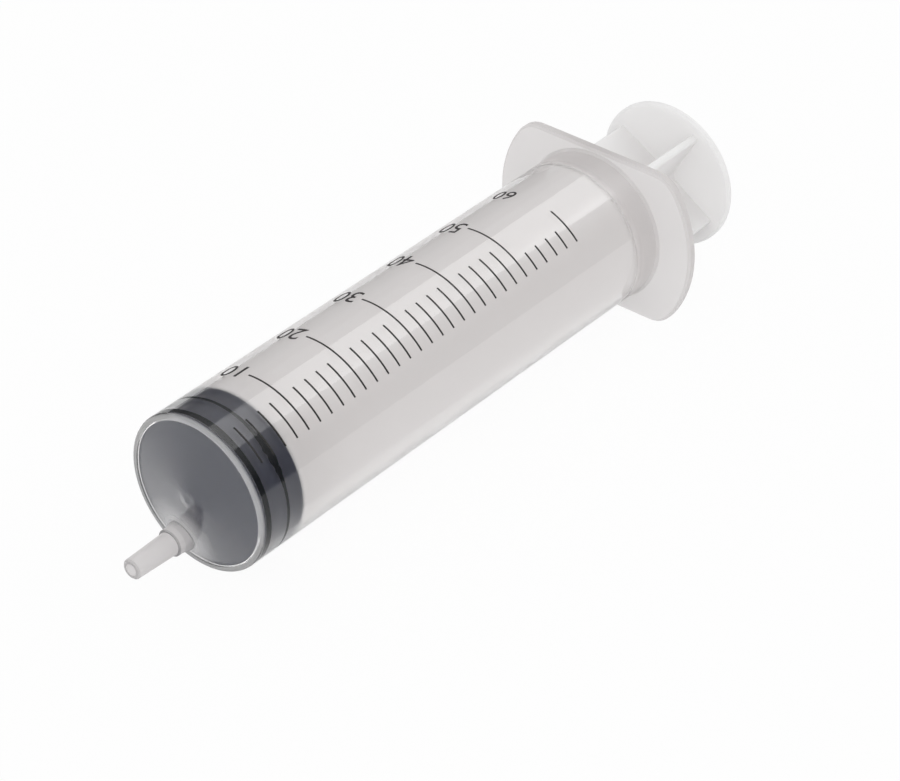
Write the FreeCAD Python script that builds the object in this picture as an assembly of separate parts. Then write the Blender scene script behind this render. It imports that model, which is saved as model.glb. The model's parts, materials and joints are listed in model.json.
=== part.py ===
import FreeCAD, Part
import math
import os

# A disposable piston syringe in three moulded pieces: barrel, rubber gasket, plunger rod.
# It lies along X with its nozzle at -X and its thumb disc at +X, plunger pushed fully home.
# The origin is on the barrel's axis at the zero mark of the scale. +Z is up. Millimetres.

Vector = FreeCAD.Vector
AXIS = Vector(1, 0, 0)
ORIGIN = Vector(0, 0, 0)
overshoot = 1.0                # how far a cut runs past the face that it opens

# Barrel tube
bore_radius = 14.46
barrel_wall = 1.09
barrel_length = 111.6          # zero mark to the front face of the flange
rim_rounding = 0.7
bore_corner_chamfer = 0.3
mouth_flare_depth = 0.5
mouth_flare_length = 1.8

# Closed end of the barrel, a shallow cone that points forwards
end_wall = 1.0
end_clearance = 0.12           # left in front of the gasket when it is home
cone_rise = 2.6
cone_nose_radius = 1.2
cone_nose_rounding = 4.0
rim_land = 0.95                # flat ring between the cone and the outer wall

# Retaining bead inside the open end
bead_height = 0.25
bead_crest = 0.6
bead_slope = 0.9
bead_inset = 7.5               # bead's middle to the rear face of the flange

# Finger flange, a disc with two flats and rounded corners
flange_thickness = 2.2
flange_wing = 7.55             # how far each wing stands out from the tube
flange_flat_margin = 1.05      # how far each flat stands out from the tube
flange_arc_radius = 25.0
flange_corner_radius = 6.0
flange_edge_chamfer = 0.45
flange_root_chamfer = 0.5

# Nozzle, off the barrel's axis towards the side opposite the scale
scale_turn = 20.0              # degrees from the flange's upright to the plane of the scale
nozzle_inset = 3.16            # nozzle's axis to the bore's wall
nozzle_tip_radius = 1.99
luer_taper = 0.06              # change of diameter over length
luer_length = 9.5
nozzle_tip_chamfer = 0.3
collar_radius = 2.7
collar_length = 1.4
collar_shoulder = 0.25         # slope at the collar's front edge
collar_flare_length = 1.6      # the collar widens into the end wall
collar_flare_height = 0.4
channel_radius = 1.15

# Gasket
seal_clearance = 0.03          # sealing rings to the bore
gasket_length = 9.6
gasket_waist = 0.4             # depth of the grooves between the sealing rings
front_ring_width = 1.2
middle_ring_centre = 5.85
middle_ring_width = 0.9        # across its foot; its crest is a line
rear_ring_width = 0.45
ring_slope = 0.25

# Snap head of the plunger rod, and the pocket in the gasket that takes it
head_clearance = 0.06
head_radius = 8.4
neck_radius = 6.4
lip_length = 2.4               # gasket lip that grips behind the head
lip_chamfer = 0.4
gasket_front_wall = 2.2        # rubber in front of the head, at its rim
head_lead_radius = 5.0
head_lead_length = 1.6

# Plunger rod
disc_clearance = 0.4           # support disc to the bore
support_disc_thickness = 1.2
support_disc_chamfer = 0.3
rib_clearance_rear = 1.26      # ribs to the bore at the thumb disc
rib_draft = 0.5                # ribs are this much lower at the gasket's end
rib_root_thickness = 2.2
rib_tip_thickness = 1.5
rib_tip_rounding = 0.5
rib_root_rounding = 1.8
rod_turn = 31.0                # degrees from +Y to the first rib, about +X
thumb_gap = 21.3               # flange's rear face to the thumb disc
thumb_disc_overhang = 0.99     # thumb disc's radius past the bore's
thumb_disc_thickness = 1.5
thumb_disc_chamfer = 0.5
grip_groove_radii = (6.5, 9.3, 12.1)
grip_groove_width = 1.0
grip_groove_depth = 0.35
joint_overlap = 0.3            # how far the ribs run into the discs that they carry

# Worked out from the sizes above
barrel_radius = bore_radius + barrel_wall
mouth_x = barrel_length + flange_thickness
bore_end_x = -end_clearance
rim_x = bore_end_x - end_wall
cone_radius = barrel_radius - rim_land
cone_fall = cone_rise / (cone_radius - cone_nose_radius)
bead_x = mouth_x - bead_inset
nozzle_offset = bore_radius - nozzle_inset
nozzle_base_x = rim_x - cone_fall * (cone_radius - nozzle_offset)
flare_x = nozzle_base_x - collar_flare_length
flare_radius = collar_radius + collar_flare_height
collar_x = flare_x - collar_length
nozzle_tip_x = collar_x - luer_length
luer_root_radius = nozzle_tip_radius + luer_taper / 2 * luer_length
nozzle_side = nozzle_offset * math.sin(math.radians(scale_turn))
nozzle_drop = nozzle_offset * math.cos(math.radians(scale_turn))
ring_radius = bore_radius - seal_clearance
waist_radius = ring_radius - gasket_waist
support_disc_x = gasket_length + head_clearance
support_disc_radius = bore_radius - disc_clearance
pocket_front_x = gasket_front_wall
pocket_lip_x = gasket_length - lip_length
rod_rear_radius = bore_radius - rib_clearance_rear
rod_front_radius = rod_rear_radius - rib_draft
thumb_disc_x = mouth_x + thumb_gap
thumb_disc_radius = bore_radius + thumb_disc_overhang


def outline(corners):
    """Closed wire through (point, rounding) corners, each rounding a tangent arc."""
    ends = []
    for index, (corner, rounding) in enumerate(corners):
        before = corners[index - 1][0]
        after = corners[(index + 1) % len(corners)][0]
        if rounding <= 0:
            ends.append((corner, None, corner))
            continue
        back = (before - corner).normalize()
        ahead = (after - corner).normalize()
        half_angle = back.getAngle(ahead) / 2
        reach = rounding / math.tan(half_angle)
        to_middle = rounding / math.sin(half_angle) - rounding
        middle = corner + (back + ahead).normalize() * to_middle
        ends.append((corner + back * reach, middle, corner + ahead * reach))
    edges = []
    for index, (start, middle, stop) in enumerate(ends):
        if middle is not None:
            edges.append(Part.Arc(start, middle, stop).toShape())
        following = ends[(index + 1) % len(ends)][0]
        if stop.distanceToPoint(following) > 1e-6:
            edges.append(Part.makeLine(stop, following))
    return Part.Wire(edges)


def turned(profile):
    """Solid turned about the X axis from (x, radius, rounding) corners."""
    corners = [(Vector(x, 0, radius), rounding) for x, radius, rounding in profile]
    return Part.Face(outline(corners)).revolve(ORIGIN, AXIS, 360)


# Barrel
def barrel_outside():
    """Tube with its coned front, and the sloped root that carries the flange."""
    root_radius = barrel_radius + flange_root_chamfer
    return turned([
        (rim_x - cone_rise, 0, 0),
        (rim_x - cone_rise, cone_nose_radius, cone_nose_rounding),
        (rim_x, cone_radius, 0),
        (rim_x, barrel_radius, rim_rounding),
        (barrel_length - flange_root_chamfer, barrel_radius, 0),
        (barrel_length, root_radius, 0),
        (mouth_x, root_radius, 0),
        (mouth_x, 0, 0),
    ])


def barrel_cavity():
    """The bore, with its flared mouth, retaining bead and coned end."""
    crest_radius = bore_radius - bead_height
    half_crest = bead_crest / 2
    half_bead = half_crest + bead_slope
    inner_nose_x = bore_end_x - cone_fall * (bore_radius - cone_nose_radius)
    return turned([
        (inner_nose_x, 0, 0),
        (inner_nose_x, cone_nose_radius, cone_nose_rounding),
        (bore_end_x - cone_fall * bore_corner_chamfer, bore_radius - bore_corner_chamfer, 0),
        (bore_end_x + bore_corner_chamfer, bore_radius, 0),
        (bead_x - half_bead, bore_radius, 0),
        (bead_x - half_crest, crest_radius, 0),
        (bead_x + half_crest, crest_radius, 0),
        (bead_x + half_bead, bore_radius, 0),
        (mouth_x - mouth_flare_length, bore_radius, 0),
        (mouth_x, bore_radius + mouth_flare_depth, 0),
        (mouth_x + overshoot, bore_radius + mouth_flare_depth, 0),
        (mouth_x + overshoot, 0, 0),
    ])


def finger_flange():
    """Two-winged plate: end arcs, rounded corners and flats, with its edges taken off."""
    half_length = barrel_radius + flange_wing
    half_height = barrel_radius + flange_flat_margin
    arc_centre = half_length - flange_arc_radius
    corner_z = half_height - flange_corner_radius
    inner_reach = flange_arc_radius - flange_corner_radius
    corner_y = arc_centre + math.sqrt(inner_reach ** 2 - corner_z ** 2)
    lean = math.atan2(corner_z, corner_y - arc_centre)
    half_lean = (lean + math.pi / 2) / 2

    def at(y, z):
        return Vector(barrel_length, y, z)

    def corner_point(angle, side, level):
        y = corner_y + flange_corner_radius * math.cos(angle)
        z = corner_z + flange_corner_radius * math.sin(angle)
        return at(side * y, level * z)

    def corner_arc(side, level):
        points = [corner_point(angle, side, level) for angle in (lean, half_lean, math.pi / 2)]
        return Part.Arc(*points).toShape()

    edges = []
    for side in (1, -1):
        low = corner_point(lean, side, -1)
        high = corner_point(lean, side, 1)
        edges.append(Part.Arc(low, at(side * half_length, 0), high).toShape())
        edges.append(corner_arc(side, 1))
        edges.append(corner_arc(side, -1))
    for level in (1, -1):
        right = corner_point(math.pi / 2, 1, level)
        left = corner_point(math.pi / 2, -1, level)
        edges.append(Part.makeLine(right, left))
    wire = Part.Wire(Part.__sortEdges__(edges))
    plate = Part.Face(wire).extrude(AXIS * flange_thickness)
    rims = [edge for edge in plate.Edges if edge.BoundBox.XLength < 1e-6]
    return plate.makeChamfer(flange_edge_chamfer, rims)


def nozzle_outside():
    """Tapered tube on a collar with a sloped shoulder, which flares into the end wall."""
    nozzle = turned([
        (nozzle_tip_x, 0, 0),
        (nozzle_tip_x, nozzle_tip_radius - nozzle_tip_chamfer, 0),
        (nozzle_tip_x + nozzle_tip_chamfer, nozzle_tip_radius + luer_taper / 2 * nozzle_tip_chamfer, 0),
        (collar_x, luer_root_radius, 0),
        (collar_x, collar_radius - collar_shoulder, 0),
        (collar_x + collar_shoulder, collar_radius, 0),
        (flare_x, collar_radius, 0),
        (nozzle_base_x, flare_radius, 0),
        (bore_end_x, flare_radius, 0),
        (bore_end_x, 0, 0),
    ])
    return nozzle.translated(Vector(0, nozzle_side, -nozzle_drop))


def nozzle_channel():
    """Fluid channel from the bore to the open air."""
    start = Vector(nozzle_tip_x - overshoot, nozzle_side, -nozzle_drop)
    return Part.makeCylinder(channel_radius, bore_end_x - start.x, start, AXIS)


def make_barrel():
    solid = barrel_outside().fuse([finger_flange(), nozzle_outside()])
    return solid.cut([barrel_cavity(), nozzle_channel()]).removeSplitter()


# Gasket
def make_gasket():
    """Rubber piston: coned face, three sealing rings, and a pocket for the rod's head."""
    nose_x = -cone_fall * (bore_radius - cone_nose_radius)
    front_start = bore_corner_chamfer - seal_clearance * (1 + cone_fall)
    middle_start = middle_ring_centre - middle_ring_width / 2
    middle_stop = middle_ring_centre + middle_ring_width / 2
    rear_start = gasket_length - rear_ring_width
    front_stop = front_start + front_ring_width
    body = turned([
        (nose_x, 0, 0),
        (nose_x, cone_nose_radius, cone_nose_rounding),
        (-cone_fall * bore_corner_chamfer, bore_radius - bore_corner_chamfer, 0),
        (front_start, ring_radius, 0),
        (front_stop, ring_radius, 0),
        (front_stop + ring_slope, waist_radius, 0),
        (middle_start, waist_radius, 0),
        (middle_ring_centre, ring_radius, 0),
        (middle_stop, waist_radius, 0),
        (rear_start - ring_slope, waist_radius, 0),
        (rear_start, ring_radius, 0),
        (gasket_length, ring_radius, 0),
        (gasket_length, 0, 0),
    ])
    pocket = turned([
        (pocket_front_x - head_clearance, 0, 0),
        (pocket_front_x - head_clearance, head_radius + head_clearance, 0),
        (pocket_lip_x, head_radius + head_clearance, 0),
        (pocket_lip_x, neck_radius + head_clearance + lip_chamfer, 0),
        (pocket_lip_x + lip_chamfer, neck_radius + head_clearance, 0),
        (gasket_length + overshoot, neck_radius + head_clearance, 0),
        (gasket_length + overshoot, 0, 0),
    ])
    return body.cut(pocket)


# Plunger rod
def rib_section(x, radius):
    """Cross of four tapered ribs, rounded at their tips and where they meet."""
    half_root = rib_root_thickness / 2
    half_tip = rib_tip_thickness / 2
    corners = []
    for quarter in range(4):
        turn = FreeCAD.Rotation(AXIS, rod_turn + 90 * quarter)
        corners.append((turn.multVec(Vector(x, radius, -half_tip)), rib_tip_rounding))
        corners.append((turn.multVec(Vector(x, radius, half_tip)), rib_tip_rounding))
        corners.append((turn.multVec(Vector(x, half_root, half_root)), rib_root_rounding))
    return outline(corners)


def rod_ribs():
    """The four long ribs, a little lower at the gasket's end for draft."""
    front = rib_section(support_disc_x + support_disc_thickness - joint_overlap, rod_front_radius)
    rear = rib_section(thumb_disc_x + joint_overlap, rod_rear_radius)
    return Part.makeLoft([front, rear], True, True)


def rod_head():
    """Snap head, its neck and the support disc behind the gasket, turned in one."""
    disc_rear_x = support_disc_x + support_disc_thickness
    head_rear_x = pocket_lip_x - head_clearance
    return turned([
        (pocket_front_x, 0, 0),
        (pocket_front_x, head_lead_radius, 0),
        (pocket_front_x + head_lead_length, head_radius, 0),
        (head_rear_x, head_radius, 0),
        (head_rear_x, neck_radius, 0),
        (support_disc_x, neck_radius, 0),
        (support_disc_x, support_disc_radius - support_disc_chamfer, 0),
        (support_disc_x + support_disc_chamfer, support_disc_radius, 0),
        (disc_rear_x - support_disc_chamfer, support_disc_radius, 0),
        (disc_rear_x, support_disc_radius - support_disc_chamfer, 0),
        (disc_rear_x, 0, 0),
    ])


def thumb_disc():
    """Disc with its edges taken off, and ring grooves in the face that the thumb presses."""
    rear_x = thumb_disc_x + thumb_disc_thickness
    half_groove = grip_groove_width / 2
    profile = [
        (thumb_disc_x, 0, 0),
        (thumb_disc_x, thumb_disc_radius - thumb_disc_chamfer, 0),
        (thumb_disc_x + thumb_disc_chamfer, thumb_disc_radius, 0),
        (rear_x - thumb_disc_chamfer, thumb_disc_radius, 0),
        (rear_x, thumb_disc_radius - thumb_disc_chamfer, 0),
    ]
    for radius in sorted(grip_groove_radii, reverse=True):
        profile.append((rear_x, radius + half_groove, 0))
        profile.append((rear_x - grip_groove_depth, radius, 0))
        profile.append((rear_x, radius - half_groove, 0))
    profile.append((rear_x, 0, 0))
    return turned(profile)


def make_plunger_rod():
    return rod_ribs().fuse([rod_head(), thumb_disc()]).removeSplitter()


# One file for each piece
os.makedirs("parts", exist_ok=True)
pieces = {
    "barrel": make_barrel(),
    "gasket": make_gasket(),
    "plunger_rod": make_plunger_rod(),
}
for node, shape in pieces.items():
    box = shape.BoundBox
    print(node, "solids", len(shape.Solids), "valid", shape.isValid(),
          "volume mm3", round(shape.Volume, 1),
          "x", round(box.XMin, 2), round(box.XMax, 2),
          "y", round(box.YMin, 2), round(box.YMax, 2),
          "z", round(box.ZMin, 2), round(box.ZMax, 2))
    shape.exportStep("parts/" + node + ".step")
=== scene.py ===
# %% [markdown]
# # A disposable piston syringe
#
# This notebook dresses the finished solids of a 50 mL syringe: a clear barrel, a dark rubber gasket and a milky
# plunger rod. The solids are exact, so nothing here moves or reshapes them. What is added is what the solids can't
# hold: the finish of each plastic, the printed scale, the light and the camera.

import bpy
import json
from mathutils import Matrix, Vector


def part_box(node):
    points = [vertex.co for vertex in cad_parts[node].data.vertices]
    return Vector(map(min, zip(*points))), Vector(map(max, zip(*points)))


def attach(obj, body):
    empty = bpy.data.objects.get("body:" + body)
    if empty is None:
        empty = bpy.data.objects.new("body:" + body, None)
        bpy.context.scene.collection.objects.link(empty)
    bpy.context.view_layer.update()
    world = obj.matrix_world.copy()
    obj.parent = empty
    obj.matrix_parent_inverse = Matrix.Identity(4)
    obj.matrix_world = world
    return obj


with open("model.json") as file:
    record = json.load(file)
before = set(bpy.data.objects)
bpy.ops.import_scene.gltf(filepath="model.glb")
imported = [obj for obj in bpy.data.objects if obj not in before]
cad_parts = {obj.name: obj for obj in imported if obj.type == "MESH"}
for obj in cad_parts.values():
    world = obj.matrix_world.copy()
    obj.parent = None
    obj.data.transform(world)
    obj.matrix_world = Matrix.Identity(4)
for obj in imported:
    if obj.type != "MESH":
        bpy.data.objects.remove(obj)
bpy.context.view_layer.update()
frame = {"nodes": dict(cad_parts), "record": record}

# %% [markdown]
# ## Sizes that the print has to match
#
# The scale is printed on the outside of the barrel, so its radius comes from the barrel's own mount in the record.
# A printed line stands for a volume: the bore's area turns millilitres into millimetres along the barrel. All places
# on the barrel are given as a distance along X from the zero mark and an angle round X, 90 degrees being the top.

# %% Barrel and scale sizes
import json
import math

import bmesh
import bpy
from mathutils import Matrix, Vector

MM = 0.001
mounts = {mount["name"]: mount for mount in frame["record"]["mounts"]}
barrel_radius = mounts["barrel_body"]["dims"]["r_mm"] * MM
bore_radius = 14.46 * MM
per_millilitre = 1e-6 / (math.pi * bore_radius ** 2)
print("barrel radius", barrel_radius, "length of one millilitre", per_millilitre)

# %% [markdown]
# ## One way to start every finish
#
# Each plastic here is a Principled shader with a few plain values, and then a texture that breaks its gloss up, since
# no moulded surface is evenly smooth. `finish` sets the plain values, and `texture` gives a noise in Object
# coordinates, which stay with the piece when it moves. `blend_value` maps a socket to the range that another one
# wants, and `uneven_gloss` puts the three together.

# %% Shader helpers


def finish(name, values):
    """A new material whose Principled shader has these plain values."""
    made = bpy.data.materials.new(name)
    made.use_nodes = True
    shader = made.node_tree.nodes["Principled BSDF"]
    for socket, value in values.items():
        shader.inputs[socket].default_value = value
    return made, shader


def add(made, kind):
    """A new node of this kind."""
    return made.node_tree.nodes.new(kind)


def join(made, source, target):
    """Links an output to an input."""
    made.node_tree.links.new(source, target)


def texture(made, size, detail):
    """A socket with a noise whose features are of about that size, in metres."""
    coordinates = add(made, "ShaderNodeTexCoord")
    mapping = add(made, "ShaderNodeMapping")
    mapping.inputs["Scale"].default_value = (1 / size, 1 / size, 1 / size)
    noise = add(made, "ShaderNodeTexNoise")
    noise.inputs["Scale"].default_value = 1.0
    noise.inputs["Detail"].default_value = detail
    join(made, coordinates.outputs["Object"], mapping.inputs["Vector"])
    join(made, mapping.outputs["Vector"], noise.inputs["Vector"])
    return noise.outputs["Fac"]


def blend_value(made, source, low, high, start=0.35, stop=0.65):
    """A socket that runs from low to high as the source runs from start to stop."""
    ranged = add(made, "ShaderNodeMapRange")
    ranged.inputs["From Min"].default_value = start
    ranged.inputs["From Max"].default_value = stop
    ranged.inputs["To Min"].default_value = low
    ranged.inputs["To Max"].default_value = high
    join(made, source, ranged.inputs["Value"])
    return ranged.outputs["Result"]


def uneven_gloss(made, shader, size, low, high, detail=2.0):
    """Lets the roughness wander between two values."""
    join(made, blend_value(made, texture(made, size, detail), low, high), shader.inputs["Roughness"])


print("shader helpers ready")

# %% [markdown]
# ## Masks from a place on the barrel
#
# The barrel is one solid and so has one material, yet its plastic looks different in the thin tube, the thick flange
# and the nozzle. Painting those zones by hand would need a texture. It is easier to work them out from Object
# coordinates: a distance along X and a distance from a line along X tell where a point is, and `blend_value` turns
# either into a mask from 0 to 1. `combined` multiplies two masks, or keeps the larger.

# %% Mask helpers


def along_x(made):
    """A socket with the distance along X."""
    coordinates = add(made, "ShaderNodeTexCoord")
    parts = add(made, "ShaderNodeSeparateXYZ")
    join(made, coordinates.outputs["Object"], parts.inputs["Vector"])
    return parts.outputs["X"]


def off_line(made, point):
    """A socket with the distance from the line through a point along X."""
    coordinates = add(made, "ShaderNodeTexCoord")
    across = add(made, "ShaderNodeVectorMath")
    across.operation = "MULTIPLY"
    across.inputs[1].default_value = (0, 1, 1)
    join(made, coordinates.outputs["Object"], across.inputs[0])
    away = add(made, "ShaderNodeVectorMath")
    away.operation = "DISTANCE"
    away.inputs[1].default_value = (0, point[1], point[2])
    join(made, across.outputs["Vector"], away.inputs[0])
    return away.outputs["Value"]


def combined(made, operation, first, second):
    """A socket with the result of a Math node on two sockets."""
    node = add(made, "ShaderNodeMath")
    node.operation = operation
    join(made, first, node.inputs[0])
    join(made, second, node.inputs[1])
    return node.outputs["Value"]


print("mask helpers ready")

# %% [markdown]
# ## Clear polypropylene
#
# The barrel is see-through, but not like glass. Polypropylene has a haze: a share of the light goes straight on, and
# the rest is scattered. What touches the wall, such as the gasket, therefore shows dark and sharp, and what lies
# deeper, such as the rod's ribs, washes out. This cell makes the clear part, a Principled shader that transmits
# light. The next cells give it a painted highlight at the rim, painted light at the collar, and its haze.

# %% Clear plastic
clear, clear_shader = finish("clear_polypropylene", {
    "Base Color": (0.935, 0.93, 0.93, 1),
    "IOR": 1.49,
})
uneven_gloss(clear, clear_shader, size=14 * MM, low=0.03, high=0.06, detail=3.0)
clear_x = along_x(clear)
off_barrel_axis = off_line(clear, (0, 0, 0))
off_nozzle_axis = off_line(clear, mounts["luer_nozzle"]["pos_m"])
print("finish", clear.name)

# %% [markdown]
# ## Painted highlight at the rim and painted light at the collar
#
# The coned end wall is clear. On the rounded rim round it and on the shoulder of the nozzle's collar, a share of the
# plastic is made matt and white. On the rim this paints in the bright highlight ring of the rounded edge, and on the
# shoulder it paints light that makes it paler. Transmission Weight mixes the two: at 1 the plastic is clear, and
# below that a share of it is matt and white.

# %% Painted highlight at the rim and painted light at the collar
# Where the painted highlight and the painted light are full, this share of the plastic stays clear and the rest is
# matt white.
painted_light_transmission = 0.62
rim_highlight_reach = (-0.95 * MM, -0.50 * MM)
rim_highlight_edge = (bore_radius - 0.25 * MM, bore_radius)
collar_painted_light = 0.8
collar_painted_light_reach = (3.4 * MM, 8.5 * MM)
bore_start = -0.1 * MM
step_width = 0.2 * MM

# The rim mask paints the highlight ring: a matt white share on the rounded rim stands in for its highlight.
in_front = blend_value(clear, clear_x, 1.0, 0.0, *rim_highlight_reach)
off_axis = blend_value(clear, off_barrel_axis, 0.0, 1.0, *rim_highlight_edge)
painted_rim_highlight = combined(clear, "MULTIPLY", in_front, off_axis)
# The shoulder mask paints light: a matt white share near the collar makes the shoulder paler, as if lit.
before_bore = blend_value(clear, clear_x, 1.0, 0.0, bore_start - step_width, bore_start)
painted_collar_light_ramp = blend_value(clear, off_nozzle_axis, collar_painted_light, 0.0, *collar_painted_light_reach)
painted_shoulder_light = combined(clear, "MULTIPLY", before_bore, painted_collar_light_ramp)
# The painted highlight on the rim and the painted light on the shoulder together set the matt white share.
painted_light_share = combined(clear, "MAXIMUM", painted_rim_highlight, painted_shoulder_light)
transmission = blend_value(clear, painted_light_share, 1.0, painted_light_transmission, 0.0, 1.0)
join(clear, transmission, clear_shader.inputs["Transmission Weight"])
print("rim transmission", painted_light_transmission, "milk at the collar", collar_painted_light)

# %% [markdown]
# ## Haze
#
# A Translucent shader gives the scattered share, since it passes on light from behind in all directions. In the thin
# tube the haze sits on the bore alone, so that the outside keeps its full gloss and the gasket stays dark. The flange
# and the nozzle are thick, and hazy all through. The more plastic the light crosses, the greyer it gets, so the haze
# is darker there.

# %% Haze of the barrel
bore_haze = 0.6
bore_side = (bore_radius + 0.3 * MM, bore_radius + 0.5 * MM)
thick_haze = 0.8
flange_reach = (104.0 * MM, 107.0 * MM)
nozzle_reach = (2.9 * MM, 3.2 * MM)
flange_darkening = 0.6
thin_haze_colour = (0.96, 0.945, 0.94, 1)
thick_haze_colour = (0.68, 0.665, 0.665, 1)

after_start = blend_value(clear, clear_x, 0.0, 1.0, bore_start, bore_start + step_width)
on_bore = blend_value(clear, off_barrel_axis, 1.0, 0.0, *bore_side)
in_bore = combined(clear, "MULTIPLY", after_start, on_bore)
at_flange = blend_value(clear, clear_x, 0.0, 1.0, *flange_reach)
at_nozzle = blend_value(clear, off_nozzle_axis, 1.0, 0.0, *nozzle_reach)
thick = combined(clear, "MAXIMUM", at_flange, at_nozzle)
thin_share = blend_value(clear, in_bore, 0.0, bore_haze, 0.0, 1.0)
thick_share = blend_value(clear, thick, 0.0, thick_haze, 0.0, 1.0)
haze_share = combined(clear, "MAXIMUM", thin_share, thick_share)

haze_colour = add(clear, "ShaderNodeMix")
haze_colour.data_type = "RGBA"
haze_colour.inputs["A"].default_value = thin_haze_colour
haze_colour.inputs["B"].default_value = thick_haze_colour
flange_share = blend_value(clear, at_flange, 0.0, flange_darkening, 0.0, 1.0)
join(clear, combined(clear, "MAXIMUM", at_nozzle, flange_share), haze_colour.inputs["Factor"])
hazy_shader = add(clear, "ShaderNodeBsdfTranslucent")
join(clear, haze_colour.outputs["Result"], hazy_shader.inputs["Color"])
print("haze of the bore", bore_haze, "of thick plastic", thick_haze)

# %% [markdown]
# ## Light that goes straight through
#
# A path tracer finds it hard to bring light into a closed, curved, clear shell, and the inside would come out too
# dark and grainy. Shadow rays and diffuse rays therefore meet a plain Transparent shader in place of the plastic,
# which keeps the light inside the barrel even. The camera, reflections and refractions still meet the real plastic.

# %% Put the barrel's shaders together
lets_through_colour = (0.99, 0.985, 0.985, 1)

plastic = add(clear, "ShaderNodeMixShader")
join(clear, haze_share, plastic.inputs["Fac"])
join(clear, clear_shader.outputs["BSDF"], plastic.inputs[1])
join(clear, hazy_shader.outputs["BSDF"], plastic.inputs[2])
lets_through = add(clear, "ShaderNodeBsdfTransparent")
lets_through.inputs["Color"].default_value = lets_through_colour
clear_path = add(clear, "ShaderNodeLightPath")
shadow_ray, diffuse_ray = clear_path.outputs["Is Shadow Ray"], clear_path.outputs["Is Diffuse Ray"]
whole = add(clear, "ShaderNodeMixShader")
join(clear, combined(clear, "MAXIMUM", shadow_ray, diffuse_ray), whole.inputs["Fac"])
join(clear, plastic.outputs["Shader"], whole.inputs[1])
join(clear, lets_through.outputs["BSDF"], whole.inputs[2])
join(clear, whole.outputs["Shader"], clear.node_tree.nodes["Material Output"].inputs["Surface"])
print(clear.name, "has", len(clear.node_tree.nodes), "nodes")

# %% [markdown]
# ## Milky polypropylene
#
# The plunger rod is moulded from the same plastic without the clarifier. Light enters it, scatters and comes out
# somewhere else, so its thin ribs and discs glow softly instead of shading from light to dark. A matt white paint
# would shade too hard, so the whole weight is given to subsurface scattering, over a few millimetres.

# %% Plunger rod finish
milky, milky_shader = finish("milky_polypropylene", {
    "Base Color": (0.83, 0.815, 0.81, 1),
    "IOR": 1.49,
    "Subsurface Weight": 1.0,
    "Subsurface Radius": (1, 1, 1),
    "Subsurface Scale": 6.0 * MM,
})
uneven_gloss(milky, milky_shader, size=9 * MM, low=0.40, high=0.50, detail=3.0)
print("finish", milky.name)

# %% [markdown]
# ## Rubber
#
# The gasket is a dark blue-grey rubber with a faint sheen from its silicone oil. A second finish is kept for the
# places where its rings press on the wall: there is no air between the two, nothing is reflected, and seen through
# the plastic the rubber turns almost black.

# %% Gasket finishes
rubber, rubber_shader = finish("gasket_rubber", {
    "Base Color": (0.006, 0.011, 0.034, 1),
    "IOR": 1.6,
})
uneven_gloss(rubber, rubber_shader, size=4 * MM, low=0.12, high=0.18, detail=1.0)
pressed_rubber, pressed_shader = finish("pressed_rubber", {
    "Base Color": (0.003, 0.004, 0.006, 1),
    "Specular IOR Level": 0.0,
})
uneven_gloss(pressed_rubber, pressed_shader, size=2 * MM, low=0.75, high=0.85)
print("finishes", rubber.name, pressed_rubber.name)

# %% [markdown]
# ## Printing ink
#
# The scale is printed with a dense black ink that dries to a slightly uneven film. It is not quite black, since the
# plastic shows through a thin film a little, and it is duller than the plastic round it.

# %% Ink finish
ink, ink_shader = finish("scale_ink", {
    "Base Color": (0.022, 0.019, 0.019, 1),
    "IOR": 1.45,
})
uneven_gloss(ink, ink_shader, size=1.5 * MM, low=0.45, high=0.60)
print("finish", ink.name)

# %% [markdown]
# ## Dress the solids
#
# A finish goes on a solid by its material slots. The mesh itself is left as it came, because the solids already have
# the true size and form of the moulded pieces.

# %% Put the finishes on the solids
for node, made in (("barrel", clear), ("gasket", rubber), ("plunger_rod", milky)):
    solid = frame["nodes"][node]
    solid.data.materials.clear()
    solid.data.materials.append(made)
    print(node, "wears", made.name, "faces", len(solid.data.polygons))

# %% [markdown]
# ## From a bmesh to a piece
#
# Every added piece is modelled in a bmesh with its place already in it, so its object can stay at the origin. The
# last step is the same for all: the faces are turned outwards, and the bmesh becomes an object with one finish.

# %% Piece helper


def finished(bm, name, made):
    """Turns a bmesh into a piece with one finish, whose faces point outwards."""
    bmesh.ops.recalc_face_normals(bm, faces=bm.faces)
    mesh = bpy.data.meshes.new(name)
    bm.to_mesh(mesh)
    bm.free()
    piece = bpy.data.objects.new(name, mesh)
    bpy.context.scene.collection.objects.link(piece)
    mesh.materials.append(made)
    return piece


print("piece helper ready")

# %% [markdown]
# ## Where the gasket touches the wall
#
# The real rings are wider than the bore and are squeezed flat against it. The solids leave a running clearance there,
# so a thin band of the same rubber closes it at each ring. It reaches a hair into the wall, as a liquid does in a
# well-made picture of a glass, so that no air is left to shine. The band is a small rectangle spun round the axis. A
# ring never touches evenly, so its edges are then moved to wander a little, and the middle one widens on one side,
# where the rod leans on the gasket.

# %% Contact bands
contact_outer = bore_radius + 0.03 * MM
contact_inner = bore_radius - 0.05 * MM
contact_bands = {
    "front": {"start": 0.25 * MM, "stop": 1.50 * MM, "wander": 0.05 * MM, "widening": 0.0},
    "middle": {"start": 5.60 * MM, "stop": 6.20 * MM, "wander": 0.03 * MM, "widening": 0.5 * MM},
}
contact_steps = 180
lean_angle = 138.0
lean_spread = 16.0


def lean(turn):
    """How far the rod's lean reaches at an angle, from 0 to about 1, with a small ripple."""
    away = (math.degrees(turn) - lean_angle) / lean_spread
    ripple = 1 + 0.3 * math.sin(turn * 41) + 0.2 * math.sin(turn * 67 + 1)
    return math.exp(-away * away) * ripple


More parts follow.
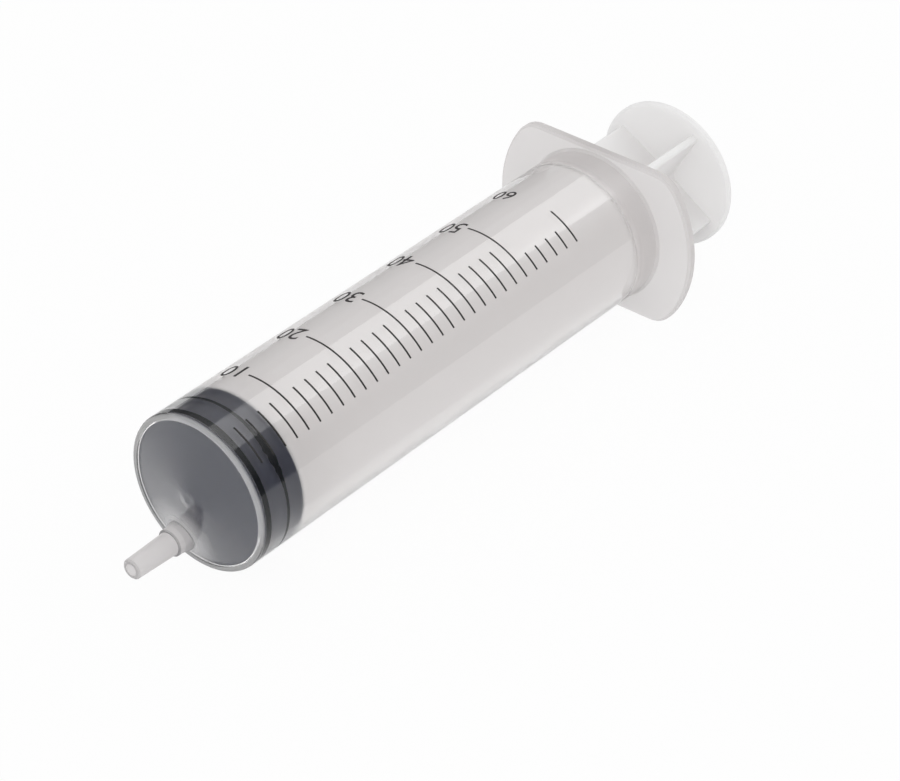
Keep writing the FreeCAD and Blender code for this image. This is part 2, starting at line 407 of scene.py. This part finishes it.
def contact_band(start, stop, wander, widening):
    """A ring of rubber round the axis whose edges wander, and which widens where the rod leans."""
    bm = bmesh.new()
    section = bmesh.ops.create_circle(bm, segments=4, radius=1.0)["verts"]
    corners = ((start, contact_inner), (start, contact_outer), (stop, contact_outer), (stop, contact_inner))
    for vert, (x, radius) in zip(section, corners):
        vert.co = (x, radius, 0)
    bmesh.ops.spin(bm, geom=bm.verts[:] + bm.edges[:], axis=(1, 0, 0), cent=(0, 0, 0),
                   angle=math.tau, steps=contact_steps, use_merge=True)
    for vert in bm.verts:
        turn = math.atan2(vert.co.z, vert.co.y) % math.tau
        if vert.co.x < (start + stop) / 2:
            vert.co.x += wander * math.sin(turn * 5 + 1) - widening * lean(turn)
        else:
            vert.co.x += wander * math.sin(turn * 7 + 2) + widening * lean(turn)
    return bm


for ring, sizes in contact_bands.items():
    band = finished(contact_band(**sizes), "contact_" + ring, pressed_rubber)
    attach(band, "gasket")
    print(band.name, len(band.data.polygons), "faces")

# %% [markdown]
# ## The printed lines
#
# A line of the scale is a thin arc of ink round the barrel. One edge, as long as the line is wide, is spun about the
# barrel's axis, and the strip is then given the thickness of the ink. The print runs slightly askew, as it often does
# on such barrels: `askew` turns each line a little more than the last.

# %% Scale lines
line_width = 0.37 * MM
line_offset = 0.04 * MM
ink_below = 0.03 * MM
ink_above = 0.02 * MM
merge_distance = 0.001 * MM
last_volume = 60
near_end = 138.5
far_ends = {"long": 81.3, "short": 109.6, "half": 124.2, "last": 110.3}
skew_per_millilitre = -0.0516
step_angle = 1.5
fewest_steps = 8


def askew(volume):
    """How far the print has turned at a volume, in degrees."""
    return skew_per_millilitre * (volume - last_volume / 2)


def line_kind(volume):
    """Which of the four lengths the line at a volume has."""
    if volume == last_volume:
        return "last"
    if volume % 10 == 0:
        return "long"
    return "half" if volume > 50 else "short"


def scale_line(bm, volume):
    """Spins one printed line round the barrel's axis."""
    start = math.radians(near_end + askew(volume))
    stop = math.radians(far_ends[line_kind(volume)] + askew(volume))
    radius = barrel_radius + ink_above
    middle = volume * per_millilitre + line_offset
    ends = [Vector((middle + side * line_width / 2, radius * math.cos(start), radius * math.sin(start)))
            for side in (-1, 1)]
    edge = bm.edges.new([bm.verts.new(end) for end in ends])
    steps = max(fewest_steps, round(math.degrees(start - stop) / step_angle))
    bmesh.ops.spin(bm, geom=[edge.verts[0], edge.verts[1], edge], axis=(1, 0, 0), cent=(0, 0, 0),
                   angle=stop - start, steps=steps)


lines = bmesh.new()
for volume in range(2, last_volume + 1, 2):
    scale_line(lines, volume)
bmesh.ops.remove_doubles(lines, verts=lines.verts, dist=merge_distance)
bmesh.ops.recalc_face_normals(lines, faces=lines.faces)
outwards = sum(face.normal.dot(face.calc_center_median() * Vector((0, 1, 1))) for face in lines.faces)
if outwards < 0:
    bmesh.ops.reverse_faces(lines, faces=lines.faces)
bmesh.ops.solidify(lines, geom=lines.faces[:], thickness=ink_above + ink_below)
scale_lines = finished(lines, "scale_lines", ink)
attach(scale_lines, "barrel")
print("scale lines", len(scale_lines.data.polygons), "faces")

# %% [markdown]
# ## The numerals
#
# Each numeral is set as flat text, turned into a mesh and fitted to the box it fills on the barrel. It is then cut
# into narrow columns and wrapped round the barrel. Its top points to the nozzle, and it reads away from its line. On
# the real barrel the boxes are not quite in a row, so each has its own place. This cell makes the flat text.

# %% Flat numerals
numeral_boxes = {
    10: {"height": 3.78, "width": 4.75, "offset": 0.40, "angle": 66.9},
    20: {"height": 3.97, "width": 5.60, "offset": 0.15, "angle": 67.6},
    30: {"height": 3.97, "width": 5.55, "offset": 0.17, "angle": 67.7},
    40: {"height": 4.20, "width": 5.45, "offset": 0.20, "angle": 67.1},
    50: {"height": 4.00, "width": 5.15, "offset": -0.50, "angle": 67.5},
    60: {"height": 3.30, "width": 4.60, "offset": -0.88, "angle": 69.6},
}


def numeral(text, width, height):
    """Flat text as a bmesh round the origin, with its reading direction along X and its top along Y."""
    curve = bpy.data.curves.new("numeral", "FONT")
    curve.body = text
    holder = bpy.data.objects.new("numeral", curve)
    bpy.context.scene.collection.objects.link(holder)
    bpy.context.view_layer.update()
    mesh = bpy.data.meshes.new_from_object(holder.evaluated_get(bpy.context.evaluated_depsgraph_get()))
    bpy.data.objects.remove(holder)
    letters = bmesh.new()
    letters.from_mesh(mesh)
    across = [vert.co.x for vert in letters.verts]
    upwards = [vert.co.y for vert in letters.verts]
    centre = Vector((min(across) + max(across), min(upwards) + max(upwards), 0)) / 2
    stretch = Vector((width / (max(across) - min(across)), height / (max(upwards) - min(upwards)), 1))
    for vert in letters.verts:
        vert.co = (vert.co - centre) * stretch
    bmesh.ops.remove_doubles(letters, verts=letters.verts, dist=merge_distance)
    return letters


print("numerals to make", list(numeral_boxes))

# %% [markdown]
# ## Wrap the numerals round the barrel
#
# A flat face can't bend, so the text is first cut into columns narrow enough to follow the curve. It is given the
# thickness of the ink while it is still flat, and only then is every point moved to its place on the barrel.

# %% Numerals
column = 0.4 * MM


def wrapped(point, middle, angle):
    """Where a point of the flat text lies on the barrel, x along the text and y towards the nozzle."""
    turn = math.radians(angle) - point.x / barrel_radius
    radius = barrel_radius + point.z
    return Vector((middle - point.y, radius * math.cos(turn), radius * math.sin(turn)))


numerals = bmesh.new()
for volume, box in numeral_boxes.items():
    letters = numeral(str(volume), box["width"] * MM, box["height"] * MM)
    last_column = math.floor(box["width"] * MM / 2 / column)
    for step in range(-last_column, last_column + 1):
        everything = letters.verts[:] + letters.edges[:] + letters.faces[:]
        bmesh.ops.bisect_plane(letters, geom=everything, plane_co=(step * column, 0, 0), plane_no=(1, 0, 0))
    letters.normal_update()
    if sum(face.normal.z for face in letters.faces) < 0:
        bmesh.ops.reverse_faces(letters, faces=letters.faces)
    bmesh.ops.translate(letters, verts=letters.verts, vec=(0, 0, ink_above))
    bmesh.ops.solidify(letters, geom=letters.faces[:], thickness=ink_above + ink_below)
    for vert in letters.verts:
        vert.co = wrapped(vert.co, volume * per_millilitre + box["offset"] * MM, box["angle"])
    part = bpy.data.meshes.new("part")
    letters.to_mesh(part)
    numerals.from_mesh(part)
    letters.free()
scale_numerals = finished(numerals, "scale_numerals", ink)
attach(scale_numerals, "barrel")
print("numerals", len(scale_numerals.data.polygons), "faces")

# %% [markdown]
# ## Floor
#
# The syringe lies on a white table. To the camera, and through clear plastic, the table is mostly plain white, with
# some of its true shading kept so that the shadow stays. Reflections see it about half plain white. To every other
# ray it is an ordinary pale surface, so it doesn't light the syringe more than a real table would.

# %% Floor
floor_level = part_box("barrel")[0].z
floor_reach = 0.45
floor_colour = (0.9, 0.9, 0.9, 1)
seen_white = 0.95
mirrored_white = 0.55

floor_white = bpy.data.materials.new("floor_white")
floor_white.use_nodes = True
floor_white.node_tree.nodes.clear()
matt = add(floor_white, "ShaderNodeBsdfDiffuse")
matt.inputs["Color"].default_value = floor_colour
plain = add(floor_white, "ShaderNodeEmission")
floor_path = add(floor_white, "ShaderNodeLightPath")
camera_ray, through_ray = floor_path.outputs["Is Camera Ray"], floor_path.outputs["Is Transmission Ray"]
floor_seen = combined(floor_white, "MAXIMUM", camera_ray, through_ray)
seen_share = blend_value(floor_white, floor_seen, 0.0, seen_white, 0.0, 1.0)
mirrored_share = blend_value(floor_white, floor_path.outputs["Is Glossy Ray"], 0.0, mirrored_white, 0.0, 1.0)
floor_mix = add(floor_white, "ShaderNodeMixShader")
join(floor_white, combined(floor_white, "MAXIMUM", seen_share, mirrored_share), floor_mix.inputs["Fac"])
join(floor_white, matt.outputs["BSDF"], floor_mix.inputs[1])
join(floor_white, plain.outputs["Emission"], floor_mix.inputs[2])
join(floor_white, floor_mix.outputs["Shader"], add(floor_white, "ShaderNodeOutputMaterial").inputs["Surface"])

ground = bmesh.new()
level = Matrix.Translation((0, 0, floor_level))
bmesh.ops.create_grid(ground, x_segments=1, y_segments=1, size=floor_reach, matrix=level)
floor = finished(ground, "floor", floor_white)
print("floor at z", floor_level)

# %% [markdown]
# ## The room
#
# A white room gives soft light from all sides. What is seen in reflections is kept apart from it, since that is what
# draws the syringe: there the room is darker near the horizon. Glossy Depth tells the two apart, also for light that
# was mirrored by the gasket and then came out through the wall.

# %% World
room_strength = 0.80
plain_strength = 1.0
horizon_strength = 0.2
ceiling_strength = 0.8
horizon_to_ceiling = (0.3, 0.75)

world = bpy.data.worlds.new("white_room")
bpy.context.scene.world = world
world.use_nodes = True
room = world.node_tree.nodes["Background"]
room.inputs["Color"].default_value = (1, 1, 1, 1)
direction = add(world, "ShaderNodeTexCoord")
height = add(world, "ShaderNodeSeparateXYZ")
join(world, direction.outputs["Generated"], height.inputs["Vector"])
mirrored_room = blend_value(world, height.outputs["Z"], horizon_strength, ceiling_strength, *horizon_to_ceiling)
room_path = add(world, "ShaderNodeLightPath")
camera_ray, through_ray = room_path.outputs["Is Camera Ray"], room_path.outputs["Is Transmission Ray"]
room_seen = combined(world, "MAXIMUM", camera_ray, through_ray)
strength = add(world, "ShaderNodeMix")
join(world, room_path.outputs["Glossy Depth"], strength.inputs["Factor"])
join(world, blend_value(world, room_seen, room_strength, plain_strength, 0.0, 1.0), strength.inputs["A"])
join(world, mirrored_room, strength.inputs["B"])
join(world, strength.outputs["Result"], room.inputs["Strength"])
print("room strength", room_strength, "mirrored from", horizon_strength, "to", ceiling_strength)

# %% [markdown]
# ## Lamps
#
# One large softbox behind the thumb disc, high up, makes the long pale band along the barrel. It is hidden from
# diffuse rays, so it draws that band without lighting anything. A broad lamp near the camera takes the shade out of
# the corners, and it is hidden from reflections.

# %% Softbox and fill
softbox_radiance = 1.45
softbox_size = (1.02, 0.90)
softbox_distance = 1.5
softbox_direction = Vector((0.629, -0.013, 0.777))
fill_radiance = 0.6
fill_size = (1.2, 1.2)
fill_distance = 1.2
fill_direction = Vector((-0.63, -0.52, 0.58))
middle_of_syringe = Vector((0.06, 0, 0))


def lamp(name, radiance, size, direction, distance):
    """A square or oblong lamp that faces the middle of the syringe."""
    made = bpy.data.lights.new(name, "AREA")
    made.shape = "RECTANGLE"
    made.size, made.size_y = size
    made.energy = radiance * math.pi * size[0] * size[1]
    stand = bpy.data.objects.new(name, made)
    bpy.context.scene.collection.objects.link(stand)
    stand.location = middle_of_syringe + direction.normalized() * distance
    stand.rotation_euler = direction.to_track_quat("Z", "Y").to_euler()
    print(name, "at", stand.location, "power", made.energy)
    return stand


softbox = lamp("softbox", softbox_radiance, softbox_size, softbox_direction, softbox_distance)
softbox.visible_diffuse = False
fill = lamp("fill", fill_radiance, fill_size, fill_direction, fill_distance)
fill.visible_glossy = False

# %% [markdown]
# ## Camera
#
# The camera looks down on the nozzle's end from its near side, with a long lens, so the barrel hardly tapers. It is
# placed by two angles and a distance from the point it looks at, which is easier to adjust than a place in space.

# %% Camera
view_azimuth = math.radians(-50.496)
view_elevation = math.radians(35.454)
view_distance = 0.6013
view_aim = Vector((59.79, -6.56, -8.46)) * MM
lens = 129.87
sensor_width = 36
nearest_seen = 0.01

towards_camera = Vector((math.sin(view_azimuth) * math.cos(view_elevation),
                         -math.cos(view_azimuth) * math.cos(view_elevation),
                         math.sin(view_elevation)))
camera = bpy.data.cameras.new("camera")
camera.lens = lens
camera.sensor_width = sensor_width
camera.sensor_fit = "HORIZONTAL"
camera.clip_start = nearest_seen
camera_stand = bpy.data.objects.new("camera", camera)
bpy.context.scene.collection.objects.link(camera_stand)
camera_stand.location = view_aim + towards_camera * view_distance
camera_stand.rotation_euler = towards_camera.to_track_quat("Z", "Y").to_euler()
bpy.context.scene.camera = camera_stand
bpy.context.scene.view_settings.view_transform = "Standard"
print("camera at", camera_stand.location)
